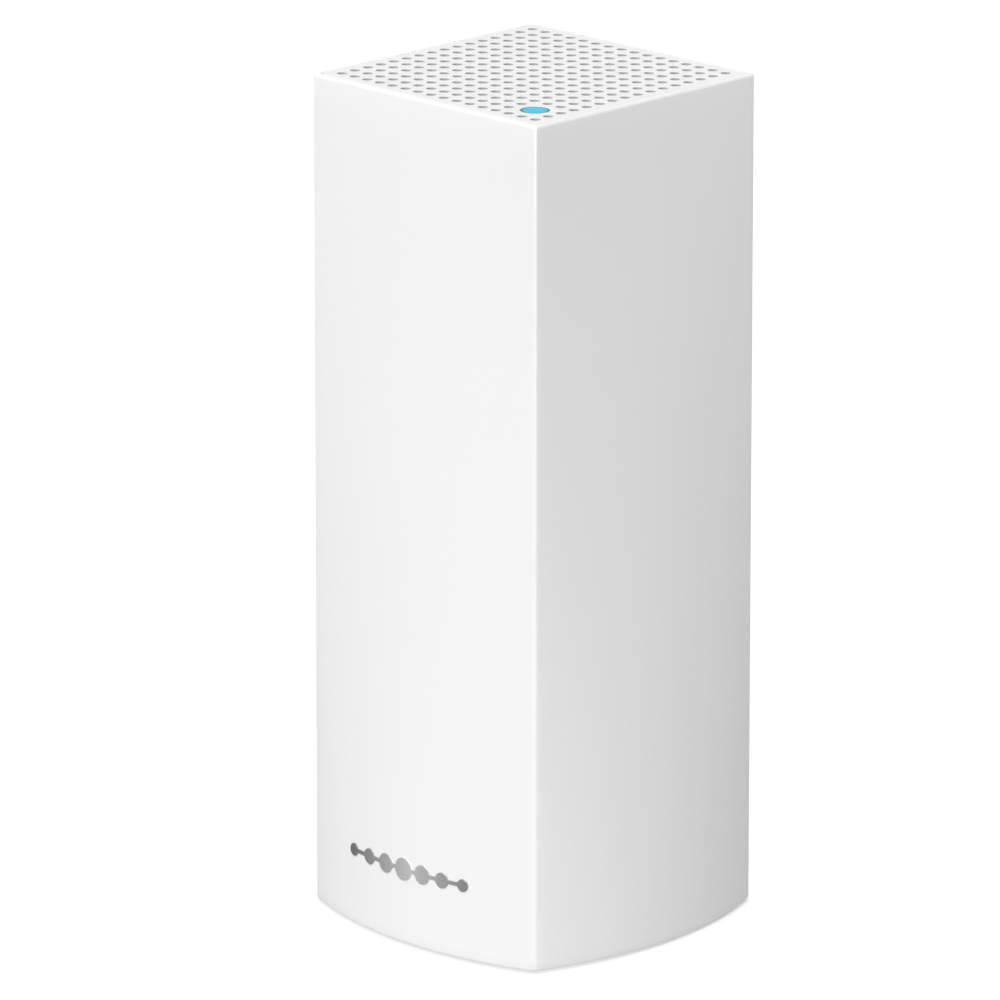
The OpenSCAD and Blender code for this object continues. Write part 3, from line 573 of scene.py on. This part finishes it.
class Finish:
    """Lays out the nodes of one material. Patterns read Object coordinates, in metres."""

    def __init__(self, name):
        self.material = bpy.data.materials.new(name)
        self.material.use_nodes = True
        self.tree = self.material.node_tree
        self.tree.nodes.clear()
        self.column = 0
        self.shader = self.node("ShaderNodeBsdfPrincipled")
        output = self.node("ShaderNodeOutputMaterial")
        self.tree.links.new(self.shader.outputs[0], output.inputs[0])
        self.place = self.node("ShaderNodeTexCoord").outputs["Object"]

    def node(self, kind, sockets=None, **settings):
        """Adds a node; sockets maps an input's name or number to a value or to another's output."""
        made = self.tree.nodes.new(kind)
        made.location = (self.column, 0)
        self.column -= 220
        for key, value in settings.items():
            setattr(made, key, value)
        for key, value in (sockets or {}).items():
            if isinstance(value, bpy.types.NodeSocket):
                self.tree.links.new(value, made.inputs[key])
            else:
                made.inputs[key].default_value = value
        return made

    def set(self, **values):
        """Sets the shader's own sockets; an underscore in a name stands for a space."""
        for key, value in values.items():
            socket = self.shader.inputs[key.replace("_", " ")]
            if isinstance(value, bpy.types.NodeSocket):
                self.tree.links.new(value, socket)
            else:
                socket.default_value = value
        return self

    def stretched(self, scale):
        """Object coordinates scaled along each axis."""
        return self.node(
            "ShaderNodeMapping", {"Vector": self.place, "Scale": scale}).outputs[0]

    def noise(self, size, detail=2.0, vector=None):
        """Soft noise whose blotches are about size across."""
        return self.node("ShaderNodeTexNoise", {
            "Vector": vector or self.place, "Scale": 1 / size, "Detail": detail}).outputs["Fac"]

    def cells(self, size, feature="F1"):
        """Distance pattern of random cells about size across."""
        return self.node("ShaderNodeTexVoronoi", {
            "Vector": self.place, "Scale": 1 / size}, feature=feature).outputs["Distance"]

    def spread(self, value, low, high, start=0.3, end=0.7):
        """Maps a pattern from start..end to low..high."""
        return self.node("ShaderNodeMapRange", {
            "Value": value, "From Min": start, "From Max": end,
            "To Min": low, "To Max": high}).outputs[0]

    def blend(self, share, first, second):
        """A colour between two, by share."""
        return self.node("ShaderNodeMix", {
            0: share, 6: with_alpha(first), 7: with_alpha(second)},
            data_type="RGBA").outputs[2]

    def bump(self, height, depth, strength=1.0, soft=0.0, under=None):
        """Normal of a relief depth metres high; soft rounds the mesh's edges by that radius."""
        sockets = {"Height": height, "Distance": depth, "Strength": strength}
        if soft:
            under = self.node("ShaderNodeBevel", {"Radius": soft}, samples=4).outputs[0]
        if under is not None:
            sockets["Normal"] = under
        return self.node("ShaderNodeBump", sockets).outputs[0]


def with_alpha(value):
    """A colour as the nodes take it; another node's output stays as it is."""
    return value if isinstance(value, bpy.types.NodeSocket) else (*value, 1.0)


def toned(base, factor):
    """A lighter or darker colour of the same hue."""
    return tuple(min(1.0, c * factor) for c in base)


def moulded(name, base, rough=0.45, grain=0.35, depth=0.010, vary=0.03, soft=0.0):
    """Moulded plastic: a spark-eroded grain, slow drifts of tone and patches of polish."""
    f = Finish(name)
    drift = f.noise(18 * MM)
    f.set(
        Base_Color=f.blend(f.spread(drift, 0, 1), toned(base, 1 - vary), toned(base, 1 + vary)),
        Roughness=f.spread(f.noise(4 * MM), rough - 0.05, rough + 0.05),
        Normal=f.bump(f.noise(grain * MM, 3), depth * MM, 0.6, soft * MM),
        IOR=1.5,
    )
    return f.material


def soft_rubber(name, base, rough=0.75):
    """Rubber: a fine pebbled skin with dusty lighter specks."""
    f = Finish(name)
    dust = f.spread(f.noise(1.2 * MM, 4), 0, 1, 0.55, 0.75)
    f.set(
        Base_Color=f.blend(dust, base, toned(base, 1.25)),
        Roughness=f.spread(f.noise(2 * MM), rough - 0.08, rough + 0.08),
        Normal=f.bump(f.cells(0.5 * MM), 0.03 * MM, 0.7, 0.1 * MM),
    )
    return f.material


def drawn_metal(name, base, rough=0.3, lines=(1, 1, 40), depth=0.004, vary=0.08, soft=0.05):
    """Metal with fine lines along the axis of the smallest scale, and faint cloudy stains."""
    f = Finish(name)
    line = f.noise(0.12 * MM, 2, f.stretched(tuple(s / max(lines) for s in lines)))
    cloud = f.noise(5 * MM)
    f.set(
        Base_Color=f.blend(f.spread(cloud, 0, 1), toned(base, 1 - vary), toned(base, 1 + vary)),
        Metallic=1.0,
        Roughness=f.spread(line, rough - 0.08, rough + 0.08),
        Normal=f.bump(line, depth * MM, 0.5, soft * MM),
    )
    return f.material


def circuit_laminate(name, base, copper=(0.62, 0.36, 0.18)):
    """Circuit board: traces under a glossy mask, with rows of small plated pads."""
    f = Finish(name)
    trace = f.spread(f.cells(2.2 * MM, "DISTANCE_TO_EDGE"), 1, 0, 0.05, 0.09)
    pad = f.spread(f.cells(1.6 * MM), 1, 0, 0.10, 0.14)
    mask = f.blend(trace, base, toned(base, 1.7))
    f.set(
        Base_Color=f.blend(pad, mask, copper),
        Metallic=pad,
        Roughness=f.spread(f.noise(3 * MM), 0.25, 0.38),
        Normal=f.bump(trace, 0.02 * MM, 0.5, 0.05 * MM),
        Coat_Weight=0.3,
    )
    return f.material


def ribbed_film(name, base, pitch=0.5):
    """Flat flexible cable: parallel conductors that show through an amber film."""
    f = Finish(name)
    wave = f.node("ShaderNodeTexWave", {
        "Vector": f.place, "Scale": 1 / (pitch * MM) / 6.28, "Distortion": 0.0},
        bands_direction="X").outputs["Fac"]
    f.set(
        Base_Color=f.blend(f.spread(wave, 0, 1), toned(base, 0.6), base),
        Roughness=f.spread(f.noise(2 * MM), 0.2, 0.32),
        Normal=f.bump(wave, 0.03 * MM, 0.6),
        Coat_Weight=0.5,
    )
    return f.material


def blank_label(name, base):
    """Printed film left blank: a thin frame with ruled boxes and a faint paper grain.

    The distance to the frame is the larger of the distances from the middle along each axis.
    """
    f = Finish(name)
    middle = [(a + b) / 2 for a, b in zip(LABEL_LOW, LABEL_HIGH)]
    half = [(b - a) / 2 for a, b in zip(LABEL_LOW, LABEL_HIGH)]
    centred = f.node("ShaderNodeVectorMath", {0: f.place, 1: middle}, operation="SUBTRACT")
    split = f.node("ShaderNodeSeparateXYZ", {0: centred.outputs[0]})
    lines = []
    for axis, inset in ((0, 0.8), (1, 0.8)):
        far = f.node("ShaderNodeMath", {0: split.outputs[axis]}, operation="ABSOLUTE").outputs[0]
        edge = f.node("ShaderNodeMath", {
            0: far, 1: half[axis] - inset * MM, 2: 0.12 * MM}, operation="COMPARE").outputs[0]
        lines.append(edge)
    rule = f.node("ShaderNodeMath", {0: lines[0], 1: lines[1]}, operation="MAXIMUM").outputs[0]
    for axis, place in ((0, 4.5), (1, 0.0)):
        bar = f.node("ShaderNodeMath", {
            0: split.outputs[axis], 1: place * MM, 2: 0.08 * MM}, operation="COMPARE").outputs[0]
        rule = f.node("ShaderNodeMath", {0: rule, 1: bar}, operation="MAXIMUM").outputs[0]
    f.set(
        Base_Color=f.blend(rule, base, (0.45, 0.45, 0.46)),
        Roughness=f.spread(f.noise(1.5 * MM), 0.42, 0.55),
        Normal=f.bump(f.noise(0.2 * MM), 0.005 * MM, 0.5),
    )
    return f.material


def shell_white(name, base, bore_shade=None):
    """Satin white shell: a grain too fine to see one by one, and a very slow drift of tone.

    Given a bore grey, it turns to that grey just below the plate's top, inside the vent holes:
    painted shade for the bores' own shadow.
    """
    f = Finish(name)
    drift = f.noise(60 * MM, 1)
    tone = f.blend(f.spread(drift, 0, 1), toned(base, 0.995), toned(base, 1.005))
    if bore_shade:
        height = f.node("ShaderNodeSeparateXYZ", {0: f.place}).outputs[2]
        top = PLATE_HIGH[2]
        # Painted shade: below the plate's top the tone turns to the bore grey, in place of the
        # holes' shadow.
        tone = f.blend(f.spread(height, 1, 0, top - 0.20 * MM, top - 0.04 * MM), tone, bore_shade)
    f.set(
        Base_Color=tone,
        Roughness=f.spread(f.noise(9 * MM), 0.40, 0.46),
        Normal=f.bump(f.noise(0.25 * MM, 3), 0.004 * MM, 0.35),
        IOR=1.48,
    )
    return f.material


def glowing_lens(base, glow, middle):
    """Diffuser over a lamp: it shines most in the middle, with a ring of painted shade at its rim,
    and a faint pebbled frosting.
    """
    f = Finish("light_diffuser")
    centred = f.node("ShaderNodeVectorMath", {
        0: f.place, 1: (*middle, LENS_HIGH[2])}, operation="SUBTRACT").outputs[0]
    far = f.node("ShaderNodeVectorMath", {0: centred}, operation="LENGTH").outputs["Value"]
    # core is 1 in the middle and 0 at the rim; the dark rim in colour and glow is painted shade
    # from the hole's wall.
    core = f.spread(far, 1.0, 0.0, 2.25 * MM, 2.9 * MM)
    skin = f.blend(f.spread(f.noise(1.5 * MM), 0, 1), toned(base, 0.40), toned(base, 0.46))
    f.set(
        Base_Color=f.blend(core, toned(base, 0.15), skin),
        Roughness=f.spread(f.noise(0.8 * MM), 0.28, 0.38),
        Normal=f.bump(f.cells(0.25 * MM), 0.006 * MM, 0.4),
        Emission_Color=f.blend(core, toned(base, 0.35), base),
        Emission_Strength=glow,
    )
    return f.material


def badge_foil(dark, light):
    """Brushed foil with fine lines; its grey swells from dark to light and back along x as a
    painted reflection.
    """
    f = Finish("badge_foil")
    split = f.node("ShaderNodeSeparateXYZ", {0: f.place}).outputs[0]
    share = f.node("ShaderNodeMapRange", {
        "Value": split, "From Min": BADGE_LOW[0], "From Max": BADGE_HIGH[0]}).outputs[0]
    ramp = f.node("ShaderNodeValToRGB", {0: share})
    # Painted reflection: dark at the left end, lightest at the crest, half light at the right end.
    stops = ramp.color_ramp.elements
    stops[0].color = (*dark, 1)
    stops[1].color = (*toned(light, 0.45), 1)
    painted_reflection_crest = stops.new(0.55)
    painted_reflection_crest.color = (*light, 1)
    line = f.noise(0.10 * MM, 2, f.stretched((0.04, 1, 1)))
    f.set(
        Base_Color=ramp.outputs[0],
        Metallic=0.6,
        Roughness=f.spread(line, 0.26, 0.42),
        Normal=f.bump(line, 0.003 * MM, 0.2),
    )
    return f.material


def finish_for(slot):
    """The finish of a material slot that carried-over nodes use."""
    base = COLOUR_OF[slot]
    made = {
        "black_moulding": lambda: moulded(slot, base, 0.42, 0.3, 0.012, 0.10, 0.12),
        "circuit_board": lambda: circuit_laminate(slot, base),
        "antenna_laminate": lambda: circuit_laminate(slot, base),
        "led_package": lambda: moulded(slot, base, 0.30, 0.2, 0.004, 0.02, 0.1),
        "screw_steel": lambda: drawn_metal(slot, base, 0.32, (1, 1, 6), 0.006, 0.10, 0.08),
        "flex_film": lambda: ribbed_film(slot, base),
        "ivory_moulding": lambda: moulded(slot, base, 0.5, 0.25, 0.008, 0.03, 0.1),
        "frame_moulding": lambda: moulded(slot, base, 0.5, 0.5, 0.014, 0.04, 0.2),
        "lead_jacket": lambda: soft_rubber(slot, base, 0.5),
        "gilt_contact": lambda: drawn_metal(slot, base, 0.22, (1, 1, 10), 0.002, 0.05, 0.05),
        "chip_epoxy": lambda: moulded(slot, base, 0.6, 0.15, 0.010, 0.12, 0.08),
        "tin_plate": lambda: drawn_metal(slot, base, 0.28, (1, 1, 20), 0.003, 0.06, 0.08),
        "thermal_gel": lambda: soft_rubber(slot, base, 0.55),
        "sink_aluminium": lambda: drawn_metal(slot, base, 0.36, (30, 30, 1), 0.006, 0.06, 0.10),
        "capacitor_sleeve": lambda: moulded(slot, base, 0.28, 0.8, 0.006, 0.08, 0.2),
        "ferrite": lambda: moulded(slot, base, 0.7, 0.25, 0.020, 0.15, 0.2),
        "pin_steel": lambda: drawn_metal(slot, base, 0.20, (1, 1, 8), 0.002, 0.04, 0.05),
        "red_moulding": lambda: moulded(slot, base, 0.38, 0.25, 0.008, 0.05, 0.15),
        "grey_moulding": lambda: moulded(slot, base, 0.52, 0.45, 0.016, 0.02, 0.25),
        "label_film": lambda: blank_label(slot, base),
        "foot_rubber": lambda: soft_rubber(slot, base),
    }
    return made[slot]()


def dress(nodes):
    """Gives carried-over CAD nodes the finish of their slot, made once for each slot."""
    for name in nodes:
        slot = SLOT_OF[name]
        finish = bpy.data.materials.get(slot + "_finish")
        if finish is None:
            finish = finish_for(slot)
            finish.name = slot + "_finish"
        node = frame["nodes"][name]
        node.data.materials.clear()
        node.data.materials.append(finish)


def nodes_named(*starts):
    """Names of the carried-over nodes that start with one of these."""
    return [n for n in frame["nodes"] if n.startswith(starts)]


# --- Operators ------------------------------------------------------------------------------


class WIFINODE_OT_sleeve(bpy.types.Operator):
    """Build the white sleeve with its bowed sides"""
    bl_idname = "wifinode.sleeve"
    bl_label = "Sleeve"

    def execute(self, context):
        white = shell_white("satin_white", tuple(context.scene.finishes.shell))
        points, quads = sleeve_mesh(sizes())
        make_piece("tower_sleeve", points, quads, "white_shell", white, ["outer_sleeve"], 50)
        return {"FINISHED"}


class WIFINODE_OT_plate(bpy.types.Operator):
    """Build the pierced plate in the top"""
    bl_idname = "wifinode.plate"
    bl_label = "Vent plate"

    def execute(self, context):
        colours = context.scene.finishes
        white = shell_white("pierced_white", tuple(colours.shell), tuple(colours.bore_shade))
        points, quads = plate_mesh(sizes(), plate_sizes())
        make_piece("vent_plate", points, quads, "white_shell", white, ["top_grille"], 30)
        return {"FINISHED"}


class WIFINODE_OT_light(bpy.types.Operator):
    """Build the status light's lens and dress what is behind it"""
    bl_idname = "wifinode.light"
    bl_label = "Status light"

    def execute(self, context):
        t, p, colours = sizes(), plate_sizes(), context.scene.finishes
        glow = glowing_lens(tuple(colours.light), colours.glow, light_place(t, p))
        make_piece("light_lens", *lens_mesh(t, p), "light_lens", glow, ["status_lens"])
        dress(nodes_named("lens_shroud", "led_", "status_led", "ribbon_"))
        return {"FINISHED"}


class WIFINODE_OT_badge(bpy.types.Operator):
    """Build the row of dots low on the front side"""
    bl_idname = "wifinode.badge"
    bl_label = "Badge"

    def execute(self, context):
        colours = context.scene.finishes
        foil = badge_foil(tuple(colours.foil_reflection_dark), tuple(colours.foil_reflection_light))
        points, quads = badge_mesh(sizes(), plate_sizes())
        make_piece("dot_badge", points, quads, "badge_metal", foil, ["front_badge"])
        return {"FINISHED"}


class WIFINODE_OT_port_bay(bpy.types.Operator):
    """Dress the base moulding, its screws, label and feet, and what sits in its panel"""
    bl_idname = "wifinode.port_bay"
    bl_label = "Port bay"

    def execute(self, context):
        dress(nodes_named("base_", "rating_", "foot_", "jack_", "power_jack"))
        dress(nodes_named("switch_", "power_slider", "reset_"))
        return {"FINISHED"}


class WIFINODE_OT_insides(bpy.types.Operator):
    """Dress the frame, boards, chips, sinks, antennas and leads"""
    bl_idname = "wifinode.insides"
    bl_label = "Insides"

    def execute(self, context):
        dress(nodes_named(
            "antenna_", "lead_", "main_board", "processor", "memory_", "radio_", "shield_can",
            "thermal_", "heat_sink", "lan_", "capacitors", "power_inductor"))
        return {"FINISHED"}


class WIFINODE_OT_stage(bpy.types.Operator):
    """Build the floor, lights and camera"""
    bl_idname = "wifinode.stage"
    bl_label = "Stage"

    def execute(self, context):
        studio = context.scene.studio
        make_floor(studio)
        make_surroundings(studio)
        make_lamps(studio)
        make_camera(studio)
        return {"FINISHED"}


def light_level(tree, shed, reflected, seen):
    """Brightness by the kind of ray: what lights things, what they reflect, what is seen."""
    path = tree.nodes.new("ShaderNodeLightPath")
    level = shed
    for kind, target in (("Is Glossy Ray", reflected), ("Is Camera Ray", seen)):
        mix = tree.nodes.new("ShaderNodeMix")
        tree.links.new(path.outputs[kind], mix.inputs[0])
        for place, value in ((2, level), (3, target)):
            if isinstance(value, bpy.types.NodeSocket):
                tree.links.new(value, mix.inputs[place])
            else:
                mix.inputs[place].default_value = value
        level = mix.outputs[0]
    return level


def make_floor(studio, half=20.0, drop=0.05 * MM):
    """A pale lit floor, a hair below the feet, that is clear from below.

    Its glow carries painted shadow: a thin contact shadow where the tower nearly touches it,
    deepest on the side away from the key light, and painted shade in the bay, within a circle, more
    and more away from the cord's opening.
    """
    mesh = bpy.data.meshes.new("floor")
    corners = [(-half, -half), (half, -half), (half, half), (-half, half)]
    mesh.from_pydata([(x, y, -drop) for x, y in corners], [], [(0, 1, 2, 3)])
    floor = bpy.data.objects.new("floor", mesh)
    bpy.context.scene.collection.objects.link(floor)
    floor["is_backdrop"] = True
    f = Finish("lit_floor")
    # Painted contact shadow: ambient occlusion darkens the floor's glow in a thin line under the
    # tower's edge.
    line = f.node("ShaderNodeAmbientOcclusion", {"Distance": 3 * MM}, samples=8).outputs["AO"]
    aside = f.node("ShaderNodeVectorMath", {
        0: f.place, 1: (1, 1, 0)}, operation="DOT_PRODUCT").outputs["Value"]
    far = f.node("ShaderNodeVectorMath", {0: f.place}, operation="LENGTH").outputs["Value"]
    rearward = f.node("ShaderNodeSeparateXYZ", {0: f.place}).outputs[1]
    # Depth of the painted contact shadow, deeper on the side away from the key light.
    painted_shadow_depth = f.spread(aside, 0.76, 0.42, 10 * MM, 60 * MM)
    # Painted shade in the bay, within a circle, deeper away from the cord's opening.
    bay = f.node("ShaderNodeMath", {
        0: f.spread(far, 0.0, 1.0, 36.5 * MM, 38.5 * MM),
        1: f.spread(rearward, 0.50, 1.0, 4 * MM, 39 * MM)}, operation="MAXIMUM").outputs[0]
    seen = f.node("ShaderNodeMath", {
        0: f.spread(line, painted_shadow_depth, 1.0, 0.10, 0.70), 1: bay}, operation="MULTIPLY").outputs[0]
    f.set(
        Base_Color=(0.04, 0.04, 0.04, 1),
        Roughness=1.0,
        Specular_IOR_Level=0.0,
        Emission_Color=(1, 1, 1, 1),
        Emission_Strength=light_level(f.tree, studio.floor_fill, studio.floor_sheen, seen),
    )
    clear = f.node("ShaderNodeBsdfTransparent").outputs[0]
    back = f.node("ShaderNodeNewGeometry").outputs["Backfacing"]
    mixed = f.node("ShaderNodeMixShader", {0: back, 1: f.shader.outputs[0], 2: clear}).outputs[0]
    output = next(n for n in f.tree.nodes if n.type == "OUTPUT_MATERIAL")
    f.tree.links.new(mixed, output.inputs[0])
    f.material.cycles.emission_sampling = "NONE"
    mesh.materials.append(f.material)


def make_surroundings(studio):
    """White to the camera, with an even fill for everything else."""
    world = bpy.data.worlds.new("surroundings")
    bpy.context.scene.world = world
    world.use_nodes = True
    tree = world.node_tree
    tree.nodes.clear()
    light = tree.nodes.new("ShaderNodeBackground")
    light.inputs["Color"].default_value = (1, 1, 1, 1)
    level = light_level(tree, studio.fill, studio.sheen, 1.0)
    tree.links.new(level, light.inputs["Strength"])
    output = tree.nodes.new("ShaderNodeOutputWorld")
    tree.links.new(light.outputs[0], output.inputs["Surface"])


def make_lamp(name, strength, turn, height, spread, diffuse=True, glossy=True, only=None):
    """A soft light from far away, for both kinds of reflection or one; only names a lone piece."""
    data = bpy.data.lights.new(name, "SUN")
    data.energy = strength
    data.angle = spread
    lamp = bpy.data.objects.new(name, data)
    away = direction(turn, height)
    lamp.rotation_mode = "QUATERNION"
    lamp.rotation_quaternion = away.to_track_quat("Z", "Y")
    lamp.location = away
    lamp.visible_diffuse = diffuse
    lamp.visible_glossy = glossy
    if only:
        lit = bpy.data.collections.new(name + "_receivers")
        lit.objects.link(bpy.data.objects[only])
        lamp.light_linking.receiver_collection = lit
    bpy.context.scene.collection.objects.link(lamp)


def make_lamps(studio):
    """A broad key light, a weak matt one behind, and one that only glints on the sleeve."""
    make_lamp("key", studio.key, studio.key_turn, studio.key_height, studio.key_spread)
    make_lamp(
        "behind", studio.back, studio.back_turn, studio.back_height, studio.back_spread,
        glossy=False)
    make_lamp(
        "edge_glint", studio.glint, studio.azimuth + studio.glint_turn, studio.glint_height,
        studio.glint_spread, diffuse=False, only="tower_sleeve")


def direction(turn, height):
    """Unit vector from the tower: turn from the badge side towards +X, height above the horizon."""
    return Vector((
        math.sin(turn) * math.cos(height), -math.cos(turn) * math.cos(height), math.sin(height)))


def make_camera(studio):
    """A long lens that aims a little beside the tower's middle."""
    back = direction(studio.azimuth, studio.elevation)
    right = Vector((math.cos(studio.azimuth), math.sin(studio.azimuth), 0))
    up = back.cross(right)
    middle = Vector((0, 0, CAD_HIGH[2] / 2))
    data = bpy.data.cameras.new("camera")
    data.sensor_width = 36
    data.lens = studio.lens
    data.clip_start, data.clip_end = 0.05, 100
    camera = bpy.data.objects.new("camera", data)
    camera.location = middle + back * studio.distance
    aim = middle - right * studio.aim_side - up * studio.aim_drop
    camera.rotation_mode = "QUATERNION"
    camera.rotation_quaternion = (camera.location - aim).to_track_quat("Z", "Y")
    scene = bpy.context.scene
    scene.collection.objects.link(camera)
    scene.camera = camera
    scene.view_settings.view_transform = "Standard"


class WIFINODE_PT_pieces(bpy.types.Panel):
    """Lists the steps that build the node"""
    bl_label = "Wifi Node"
    bl_idname = "WIFINODE_PT_pieces"
    bl_space_type = "VIEW_3D"
    bl_region_type = "UI"
    bl_category = "Wifi Node"

    def draw(self, context):
        for step in STEPS:
            self.layout.operator(step.bl_idname)


GROUPS = {
    "tower_sizes": TowerSizes,
    "plate_sizes": PlateSizes,
    "finishes": Finishes,
    "studio": StudioSettings,
}
STEPS = (
    WIFINODE_OT_sleeve, WIFINODE_OT_plate, WIFINODE_OT_light, WIFINODE_OT_badge,
    WIFINODE_OT_port_bay, WIFINODE_OT_insides, WIFINODE_OT_stage,
)


def register():
    for kind in (*GROUPS.values(), *STEPS, WIFINODE_PT_pieces):
        bpy.utils.register_class(kind)
    for name, kind in GROUPS.items():
        setattr(bpy.types.Scene, name, bpy.props.PointerProperty(type=kind))


def unregister():
    for name in GROUPS:
        delattr(bpy.types.Scene, name)
    for kind in (WIFINODE_PT_pieces, *reversed(STEPS), *reversed(GROUPS.values())):
        bpy.utils.unregister_class(kind)


def main():
    register()
    bpy.ops.wifinode.sleeve()
    bpy.ops.wifinode.plate()
    bpy.ops.wifinode.light()
    bpy.ops.wifinode.badge()
    bpy.ops.wifinode.port_bay()
    bpy.ops.wifinode.insides()
    bpy.ops.wifinode.stage()


if __name__ == "__main__":
    main()
